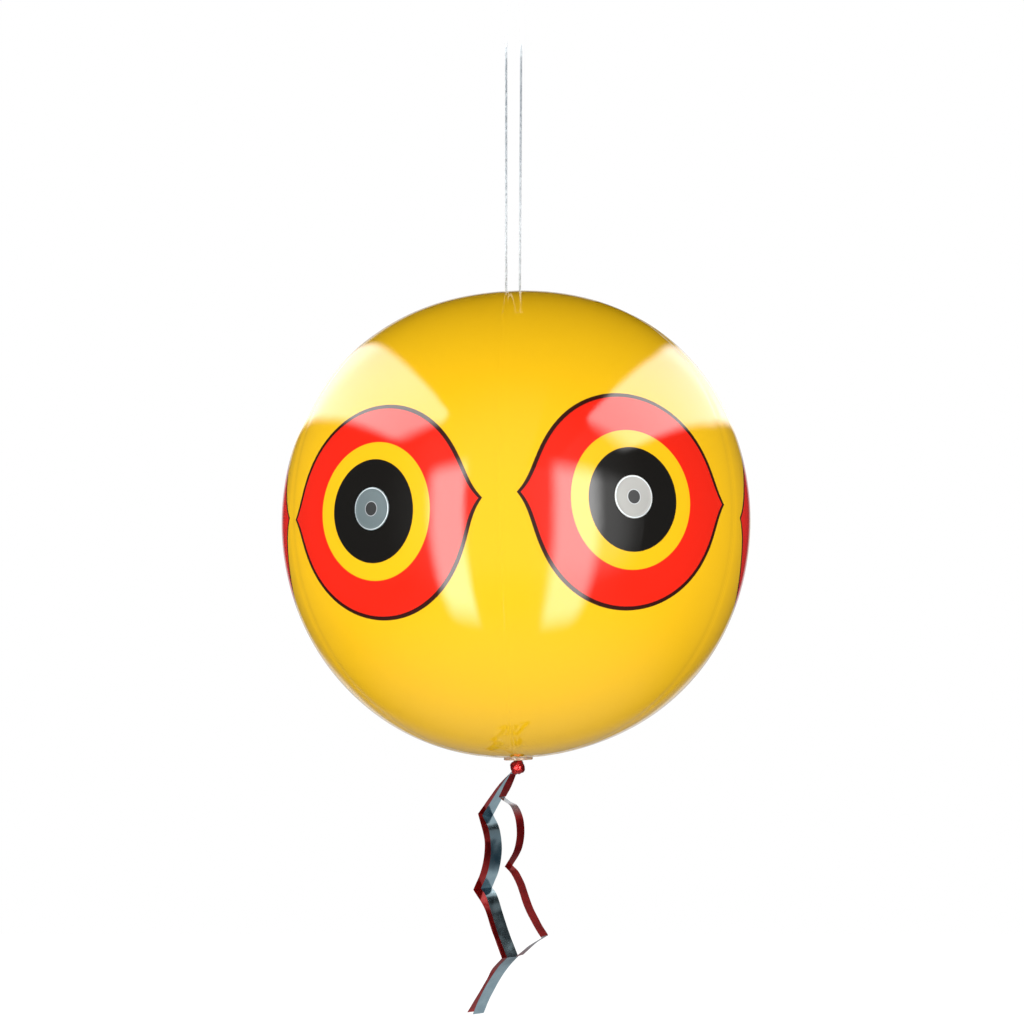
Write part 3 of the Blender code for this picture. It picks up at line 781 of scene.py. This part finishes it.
def make_twisted(name, runs, closed, nodes):
    """Twisted cord along its runs of points."""
    curve = bpy.data.curves.new(name, "CURVE")
    curve.dimensions = "3D"
    for run, is_closed in zip(runs, closed):
        spline = curve.splines.new("POLY")
        spline.points.add(len(run) - 1)
        spline.use_cyclic_u = is_closed
        for point, place in zip(spline.points, run):
            point.co = (*place, 1.0)
    holder = bpy.data.objects.new(name, curve)
    bpy.context.scene.collection.objects.link(holder)
    twist = holder.modifiers.new("Twist", "NODES")
    twist.node_group = TWIST
    values = {"Plies": PLIES, "Ply Radius": PLY_R, "Lay Length": LAY_LENGTH, "Step": CORD_STEP}
    for item in TWIST.interface.items_tree:
        if item.in_out == "INPUT" and item.name in values:
            twist[item.identifier] = values[item.name]
    seen = bpy.context.evaluated_depsgraph_get()
    mesh = bpy.data.meshes.new_from_object(holder.evaluated_get(seen))
    bpy.data.objects.remove(holder, do_unlink=True)
    obj = add_piece(name, mesh, cord_plies)
    dress(obj, "cord", "cord", *nodes)


def cord_route():
    """From under the knot down the right strand, through the eyelet, up the left strand and over the crown."""
    low_centre = ROCK_AXIS + Vector((0.0, 0.0, BIGHT_R))
    high_centre = Vector((0.0, 0.0, CORD_R - CROWN_R))
    low_right = low_centre + Vector((BIGHT_R, 0.0, 0.0))
    high_right = high_centre + Vector((CROWN_R, 0.0, 0.0))
    start = high_right.lerp(low_right, (high_right.z - CORD_KNOT_CENTRE.z) / (high_right.z - low_right.z))
    arc = [math.pi * i / 24 for i in range(25)]
    bight = [low_centre + Vector((BIGHT_R * math.cos(a), 0.0, -BIGHT_R * math.sin(a))) for a in arc]
    crown = [high_centre + Vector((-CROWN_R * math.cos(a), 0.0, CROWN_R * math.sin(a))) for a in arc]
    return [start, *bight, *crown, CORD_KNOT_CENTRE]


def knot_loop():
    """The closed turns of a small tight knot."""
    loop = []
    for i in range(72):
        t = math.tau * i / 72
        x, y, z = math.sin(t) + 2 * math.sin(2 * t), math.cos(t) - 2 * math.cos(2 * t), -math.sin(3 * t)
        loop.append(CORD_KNOT_CENTRE + Vector((1.1 * z, y, x)) * CORD_KNOT_LUMP)
    return loop


def knot_tail(turn, bow):
    """A cut end that stands out of the knot, bowed a little to one side."""
    out = Vector((math.sin(turn), 0.0, math.cos(turn)))
    shares = [i / 12 for i in range(13)]
    return [CORD_KNOT_CENTRE + out * (CORD_TAIL_L * t) + Vector((0.0, bow * t * t, 0.0)) for t in shares]


make_twisted("hanging_loop", [cord_route()], [False], ["hanging_cord"])
tails = [knot_tail(turn, bow) for turn, bow in CORD_TAILS]
make_twisted("loop_knot", [knot_loop(), *tails], [True, False, False], ["cord_knot"])


# Ribbons. Each bend is across, away from the front and up from the ball's centre in millimetres, and the share of the
# width that is spread out there. A ribbon is creased at its folds, given by their places in the list. The short one
# starts a little wider and higher in the knot than its solid

RIBBON_W = 0.011
FOIL_T = 0.00012
RIBBON_COLUMNS = 12
DENT_SCALE, DENT_DEPTH = 120.0, 0.0002
LONG_RIBBON_TURN = math.radians(33)
SHORT_RIBBON_TURN = math.radians(54)
FRONT_FOLDS = (2, 7, 11)
BACK_FOLDS = (2, 5, 8)
SHORT_FOLDS = (2, 9, 14)
RIBBON_STEPS = 14
FRONT_RIBBON = [
    (-2.5, 3, -211.5, 0.36), (-9.5, 13, -223.5, 0.73), (-24, 35.5, -249.5, 1), (-18.5, 27.5, -260.5, 1),
    (-16.5, 24.5, -274, 1), (-17, 25, -285, 1), (-19.5, 28.5, -297, 1), (-25, 37.5, -311, 1),
    (-20.5, 29.5, -316.5, 1), (-15.5, 22.5, -330.5, 1), (-10, 14.5, -345.5, 1), (-2.5, 3, -362.5, 1),
    (-9.5, 14, -371.5, 1), (-17.5, 25.5, -384.5, 1), (-26.5, 39.5, -403, 1), (-32, 48, -417, 1),
]
BACK_RIBBON = [
    (-1.5, 4.5, -211, 0.36), (-11.5, 21, -223.5, 0.73), (-28, 47, -249, 1), (-22, 37.5, -272, 1),
    (-24.5, 41.5, -294.5, 1), (-32, 53, -314, 1), (-22, 37.5, -327.5, 1), (-16, 28.5, -343.5, 1),
    (-7, 15, -365, 1), (-15.5, 28, -376.5, 1), (-20.5, 35.5, -387, 1), (-37, 60.5, -418, 1),
]
SHORT_RIBBON = [
    (-2, -1.5, -212.5, 0.8), (-7, 1.5, -223.5, 1), (-11.5, 6, -232.5, 0.9), (-7.5, 3, -235.5, 1),
    (-1.5, -1.5, -239, 1), (2.5, -4.5, -247.5, 1), (4, -5.5, -257.5, 1), (3.5, -5, -267, 1),
    (1, -3.5, -276.5, 1), (-6, 1.5, -288.5, 1), (-0.5, -2, -294, 1), (4.5, -6, -303.5, 1),
    (10, -10.5, -319, 1), (16.5, -15, -331.5, 1), (23.5, -20, -342.5, 1), (14, -13, -349.5, 1),
    (3, -8, -359.5, 1),
]
# How the short ribbon lies at the bends of its shallow runs: rolled about its own length in degrees, and the share
# of a whitish painted reflection laid over its red there, from 0 to 1
SHORT_ROLLS_AND_PAINTED_REFLECTIONS = {1: ((8, 1), (8, 1), (4, 0.6)), 3: ((6, 1), (5, 0.7), (2, 0.25))}


def smooth_run(run):
    """Stations along a smooth curve through the bends between two folds, without the last one."""
    ends = [2 * run[0] - run[1], *run, 2 * run[-1] - run[-2]]
    stations = []
    for a, b, c, d in zip(ends, ends[1:], ends[2:], ends[3:]):
        for i in range(RIBBON_STEPS):
            t = i / RIBBON_STEPS
            slope, bend, twist = c - a, 2 * a - 5 * b + 4 * c - d, 3 * b - a - 3 * c + d
            stations.append(b + 0.5 * (slope * t + bend * t ** 2 + twist * t ** 3))
    return stations


def make_ribbon(name, bends, folds, lies, turn, material, slot, node, seed):
    """A thin foil strip, creased at its folds and lightly dented all along."""
    stations = []
    for number, (start, end) in enumerate(zip((0, *folds), (*folds, len(bends) - 1))):
        lie = [*lies.get(number, ()), *[(0, 0)] * (end - start + 1)]
        run = [Vector((*bend, *how)) for bend, how in zip(bends[start:end + 1], lie)]
        stations += smooth_run(run)
    stations.append(run[-1])
    level = Vector((math.cos(turn), math.sin(turn), 0.0))
    middles = [BALL_CENTRE + Vector(s[:3]) * MM for s in stations]
    points = []
    for number, (middle, station) in enumerate(zip(middles, stations)):
        before, after = middles[max(number - 1, 0)], middles[min(number + 1, len(middles) - 1)]
        facing = level.cross((after - before).normalized()).normalized()
        roll = math.radians(station[4])
        side = level * math.cos(roll) + facing * math.sin(roll)
        for i in range(RIBBON_COLUMNS + 1):
            share = 2.0 * i / RIBBON_COLUMNS - 1.0
            place = middle + side * (0.5 * RIBBON_W * station[3] * share)
            dent = noise.noise(place * DENT_SCALE + Vector((seed, 0.0, 0.0))) * DENT_DEPTH
            points.append(place + facing * dent)
    faces = []
    width = RIBBON_COLUMNS + 1
    for row in range(len(middles) - 1):
        for i in range(RIBBON_COLUMNS):
            a = row * width + i
            faces.append((a, a + 1, a + width + 1, a + width))
    mesh = bpy.data.meshes.new(name)
    mesh.from_pydata(points, [], faces)
    # Each station's share of whitish painted reflection, which the foil mixes into its colour
    reflection_shares = mesh.attributes.new("painted_reflection_share", "FLOAT", "POINT")
    reflection_shares.data.foreach_set("value", [station[5] for station in stations for _ in range(width)])
    obj = add_piece(name, mesh, material)
    thick = obj.modifiers.new("Thickness", "SOLIDIFY")
    thick.thickness = FOIL_T
    thick.offset = 0.0
    make_real(obj)
    obj.data.set_sharp_from_angle(angle=math.radians(35))
    dress(obj, "streamer", slot, node)


make_ribbon(
    "silver_ribbon", FRONT_RIBBON, FRONT_FOLDS, {}, LONG_RIBBON_TURN,
    silver_foil, "foil_silver", "long_ribbon_front", 1.0,
)
make_ribbon(
    "red_ribbon", BACK_RIBBON, BACK_FOLDS, {}, LONG_RIBBON_TURN,
    red_foil, "foil_red", "long_ribbon_back", 2.0,
)
make_ribbon(
    "short_red_ribbon", SHORT_RIBBON, SHORT_FOLDS, SHORT_ROLLS_AND_PAINTED_REFLECTIONS, SHORT_RIBBON_TURN,
    red_foil, "foil_red", "short_ribbon", 3.0,
)

# The knot that ties the ribbons to the lower eyelet: a crumpled foil core under two tight wraps

KNOT_SIZE = Vector((0.0128, 0.0117, 0.0126))
KNOT_PLACE = Vector((-0.0008, 0.0, -0.2074))
KNOT_WRAPS = (
    {"axis": Vector((0.55, 0.15, 1.0)), "width": 0.45, "rise": 0.03, "seed": 5.0},
    {"axis": Vector((-0.9, 0.3, 0.55)), "width": 0.40, "rise": 0.06, "seed": 9.0},
)


def knot_skin(towards, rise):
    """A point on the knot's rounded shape, raised by a share of its size."""
    half = 0.5 * KNOT_SIZE
    reach = 1.0 / math.sqrt(sum((towards[i] / half[i]) ** 2 for i in range(3)))
    return KNOT_PLACE + towards * (reach * (1.0 + rise))


def make_ribbon_knot():
    """The core and its wraps in one mesh."""
    bm = bmesh.new()
    bmesh.ops.create_icosphere(bm, subdivisions=5, radius=1.0)
    for v in bm.verts:
        towards = v.co.normalized()
        crease = abs(noise.noise(towards * 2.6 + Vector((3.0, 0.0, 0.0))))
        v.co = knot_skin(towards, -0.16 + 0.22 * crease)
    for wrap in KNOT_WRAPS:
        axis = wrap["axis"].normalized()
        first = axis.orthogonal().normalized()
        second = axis.cross(first)
        steps, across = 96, 12
        rows = []
        for step in range(steps):
            turn = math.tau * step / steps
            row = []
            for i in range(across + 1):
                share = 2.0 * i / across - 1.0
                towards = first * math.cos(turn) + second * math.sin(turn) + axis * (share * wrap["width"])
                place = Vector((math.cos(turn), math.sin(turn), share * 4.0 + wrap["seed"]))
                ridge = noise.noise(place * 1.4)
                tuck = abs(share) ** 4
                row.append(bm.verts.new(knot_skin(towards.normalized(), wrap["rise"] + 0.09 * ridge - 0.14 * tuck)))
            rows.append(row)
        for row, after in zip(rows, rows[1:] + rows[:1]):
            for i in range(across):
                bm.faces.new((row[i], after[i], after[i + 1], row[i + 1]))
    bm.transform(BALL_PLACE)
    mesh = bpy.data.meshes.new("ribbon_knot_foil")
    bm.to_mesh(mesh)
    bm.free()
    obj = add_piece("ribbon_knot_foil", mesh, red_foil)
    dress(obj, "balloon", "foil_red", "ribbon_knot")


make_ribbon_knot()


# Studio

FLOOR_Z = -2.25
FLOOR_HALF = 9.0

floor_material, floor_tree = finish_material("studio_floor", {"Base Color": (0.0, 0.0, 0.0, 1.0), "Roughness": 1.0})
floor_tree.surface.inputs["Emission Color"].default_value = (1.0, 1.0, 1.0, 1.0)
floor_tree.surface.inputs["Emission Strength"].default_value = 1.1
floor_mesh = bpy.data.meshes.new("floor")
floor_mesh.from_pydata(
    [(x * FLOOR_HALF, y * FLOOR_HALF, FLOOR_Z) for x, y in ((-1, -1), (1, -1), (1, 1), (-1, 1))], [],
    [(0, 1, 2, 3)],
)
floor = add_piece("floor", floor_mesh, floor_material, smooth=False)
floor.visible_glossy = False
floor.visible_diffuse = False

# What the studio round the ball sends back into mirrors: brightest straight below, a white backdrop straight behind
BELOW_GLOW = 0.50
FRONT_GLOW = 0.45
BACK_GLOW = 0.60
BACK_FLOOR_GLOW = 0.22
ROOM_GLOW = (0.020, 0.035, 0.045)
# What it sends to matt surfaces from below
MATT_BELOW_GLOW = 0.48

world = bpy.data.worlds.new("studio")
bpy.context.scene.world = world
sky = Tree(world)
way = sky.node("ShaderNodeTexCoord", {}, {}, "Generated")
sideways = sky.maths("ABSOLUTE", sky.node("ShaderNodeSeparateXYZ", {}, {0: way}, 0))
forward = sky.node("ShaderNodeSeparateXYZ", {}, {0: way}, 1)
upward = sky.node("ShaderNodeSeparateXYZ", {}, {0: way}, 2)
below = upward.ramp(-0.45, -1.05, 0.0, BELOW_GLOW)
front = forward.ramp(-0.4, -0.95, 0.0, FRONT_GLOW) * upward.ramp(-0.75, -0.35)
backdrop = forward.ramp(0.6, 0.8, 0.0, BACK_GLOW) * sideways.ramp(0.40, 0.30)
backdrop = backdrop * upward.ramp(0.48, 0.40) * upward.ramp(-0.28, -0.18)
back_floor = forward.ramp(0.68, 0.9, 0.0, BACK_FLOOR_GLOW) * upward.ramp(-0.08, -0.2) * sideways.ramp(0.5, 0.3)
mirrored_glow = below + front + backdrop + back_floor
by_camera = sky.node("ShaderNodeLightPath", {}, {}, "Is Camera Ray")
by_matt = sky.node("ShaderNodeLightPath", {}, {}, "Is Diffuse Ray")
matt_glow = upward.ramp(0.1, -0.2, 0.0, MATT_BELOW_GLOW)
channels = [mirrored_glow + upward.ramp(0.7, 0.3, 0.0, share) for share in ROOM_GLOW]
room = sky.node("ShaderNodeCombineColor", {}, dict(enumerate(channels)))
unseen = sky.mix(by_matt, room, sky.node("ShaderNodeCombineColor", {}, {i: matt_glow for i in range(3)}))
sky.join(sky.nodes["Background"].inputs["Color"], sky.mix(by_camera, unseen, (1.0, 1.0, 1.0, 1.0)))


def ribbon_receivers(name, state):
    """The ribbons as a set of receivers, which a light either leaves out or lights alone."""
    receivers = bpy.data.collections.new(name)
    for ribbon in ("silver_ribbon", "red_ribbon", "short_red_ribbon"):
        receivers.objects.link(bpy.data.objects[ribbon])
    for member in receivers.collection_objects:
        member.light_linking.link_state = state
    return receivers


ALL_BUT_RIBBONS = ribbon_receivers("all_but_ribbons", "EXCLUDE")
RIBBONS_ALONE = ribbon_receivers("ribbons_alone", "INCLUDE")


def add_mirror_light(name, corner, across, up, radiance, shade, receivers=ALL_BUT_RIBBONS):
    """A flat sheet of light that shows mirrored in glossy surfaces only, as a rule not in the ribbons.

    It stands on one corner, measured from the ball's centre, and shade gives its brightness, from 0 to 1, as maths
    on the place across and up it in metres.
    """
    corner, across, up = (Vector(v) for v in (corner, across, up))
    black = {"Base Color": (0.0, 0.0, 0.0, 1.0), "Roughness": 1.0, "Specular IOR Level": 0.0}
    white = (1.0, 1.0, 1.0, 1.0)
    material, tree = finish_material(name, {**black, "Emission Color": white, "Emission Strength": radiance})
    place = tree.node("ShaderNodeTexCoord", {}, {}, "Object")
    x = tree.node("ShaderNodeSeparateXYZ", {}, {0: place})
    y = tree.node("ShaderNodeSeparateXYZ", {}, {0: place}, 1)
    tree.join(tree.surface.inputs["Alpha"], shade(x, y))
    mesh = bpy.data.meshes.new(name)
    width, height = across.length, up.length
    mesh.from_pydata([(0, 0, 0), (width, 0, 0), (width, height, 0), (0, height, 0)], [], [(0, 1, 2, 3)])
    obj = add_piece(name, mesh, material, smooth=False)
    right, top = across.normalized(), up.normalized()
    obj.matrix_world = (
        Matrix.Translation(BALL_CENTRE + corner) @ Matrix((right, top, right.cross(top))).transposed().to_4x4()
    )
    obj.visible_camera = False
    obj.visible_diffuse = False
    obj.visible_shadow = False
    obj.light_linking.receiver_collection = receivers


def add_matt_light(name, corner, across, up, radiance):
    """A rectangular light from one corner and its two sides that lights matt surfaces only, facing the ball."""
    corner, across, up = (Vector(v) for v in (corner, across, up))
    middle = BALL_CENTRE + corner + 0.5 * (across + up)
    light = bpy.data.lights.new(name, "AREA")
    light.shape = "RECTANGLE"
    light.size = across.length
    light.size_y = up.length
    light.energy = radiance * math.pi * across.length * up.length
    obj = bpy.data.objects.new(name, light)
    bpy.context.scene.collection.objects.link(obj)
    back = across.cross(up).normalized()
    if back.dot(BALL_CENTRE - middle) > 0.0:
        back = -back
    side = up.normalized().cross(back)
    turn = Matrix((side, up.normalized(), back)).transposed().to_4x4()
    obj.matrix_world = Matrix.Translation(middle) @ turn
    obj.visible_camera = False
    obj.visible_glossy = False


# Softboxes high at both sides: each has its near lower corner cut off, soft edges, and grows dimmer with distance
SOFTBOX_LIGHT = 6.2
SOFTBOX_LONG, SOFTBOX_HIGH = 6.5, 1.4


def softbox_shade(height, edge, cut_across, cut_up, cut_blur, far, rise):
    """The brightness of a softbox this high: blurred edges, a cut corner, and a dim far end that rises a little."""

    def shade(x, y):
        level = y - x.tree.maths("MAXIMUM", x - 1.9, 0.0) * rise
        edges = level.ramp(0.0, edge) * level.ramp(height, height - 1.5 * edge) * x.ramp(0.0, 2.0 * edge)
        cut = (x / cut_across + y / cut_up).ramp(1.0 - cut_blur, 1.0 + cut_blur)
        dim = x.ramp(0.9, 2.3, 1.0, 0.49)
        return edges * cut * dim * x.ramp(2.3, 3.5, 1.0, far) * x.ramp(3.2, 4.8, 1.0, 0.4)

    return shade


add_mirror_light(
    "left_softbox", (-1.0, -1.46, 0.54), (0.0, SOFTBOX_LONG, 0.0), (0.0, 0.0, SOFTBOX_HIGH), SOFTBOX_LIGHT,
    softbox_shade(0.96, 0.11, 0.86, 0.77, 0.17, 0.62, 0.05),
)
add_mirror_light(
    "right_softbox", (1.0, -1.42, 0.49), (0.0, SOFTBOX_LONG, 0.0), (0.0, 0.0, SOFTBOX_HIGH), SOFTBOX_LIGHT,
    softbox_shade(0.83, 0.09, 0.67, 0.80, 0.28, 0.50, 0.09),
)
for name, x, z, height, radiance in (
    ("left_softbox_fill", -1.05, 0.57, 0.92, 2.8), ("right_softbox_fill", 1.05, 0.51, 0.92, 2.5),
    ("left_side_fill", -1.05, -0.60, 1.17, 1.15), ("right_side_fill", 1.05, -0.60, 1.11, 0.4),
):
    add_matt_light(name, (x, -1.45, z), (0.0, 2.25, 0.0), (0.0, 0.0, height), radiance)

# Standing strips beside the camera, with soft edges
STRIP_LIGHT = 8.2
STRIP_FILL = 4.6


def left_strip_shade(x, y):
    """Bright across its middle, sharper at its inner side."""
    return x.ramp(0.0, 0.35) * x.ramp(0.82, 0.68) * y.ramp(0.0, 1.1) * y.ramp(2.98, 2.68)


def right_strip_shade(x, y):
    """Bright across its inner half, with a dim tail on its outer side."""
    tail = x.ramp(0.95, 2.1, 0.17, 0.03) * y.ramp(1.2, 2.0)
    return x.ramp(0.0, 0.2) * (x.ramp(0.95, 0.60) * 0.83 + tail) * y.ramp(0.0, 1.0) * y.ramp(3.02, 2.70)


add_mirror_light("left_strip", (-1.36, -1.5, -2.3), (1.0, 0.0, 0.0), (0.0, 0.0, 3.1), STRIP_LIGHT, left_strip_shade)
add_mirror_light("right_strip", (0.34, -1.5, -2.4), (2.2, 0.0, 0.0), (0.0, 0.0, 3.1), STRIP_LIGHT, right_strip_shade)
for name, x, width, z, height in (
    ("left_strip_fill", -1.36, 0.80, -1.93, 2.50), ("right_strip_fill", 0.26, 1.04, -1.87, 2.43)
):
    add_matt_light(name, (x, -1.55, z), (width, 0.0, 0.0), (0.0, 0.0, height), STRIP_FILL)

# A dim card overhead at the right, which only the ribbons see: light near the middle, and a bright spot at the back
CARD_LIGHT = 1.0
CARD_DIM = 0.17
CARD_PALE = 0.36
CARD_SPOT = 0.5


def card_shade(x, y):
    """Pale at its inner side, dim farther out, with one brighter spot."""
    return x.ramp(1.0, 0.85, CARD_DIM, CARD_DIM + CARD_PALE) + x.ramp(0.55, 0.4) * y.ramp(5.7, 5.9, 0.0, CARD_SPOT)


add_mirror_light(
    "ribbon_card", (0.4, -5.0, 1.5), (8.0, 0.0, 0.0), (0.0, 8.0, 0.0), CARD_LIGHT, card_shade, RIBBONS_ALONE,
)

# The film shows in no mirror, so that the foils keep the tones of the lights and the room
bpy.data.objects["envelope"].visible_glossy = False

bpy.context.scene.view_settings.view_transform = "Standard"
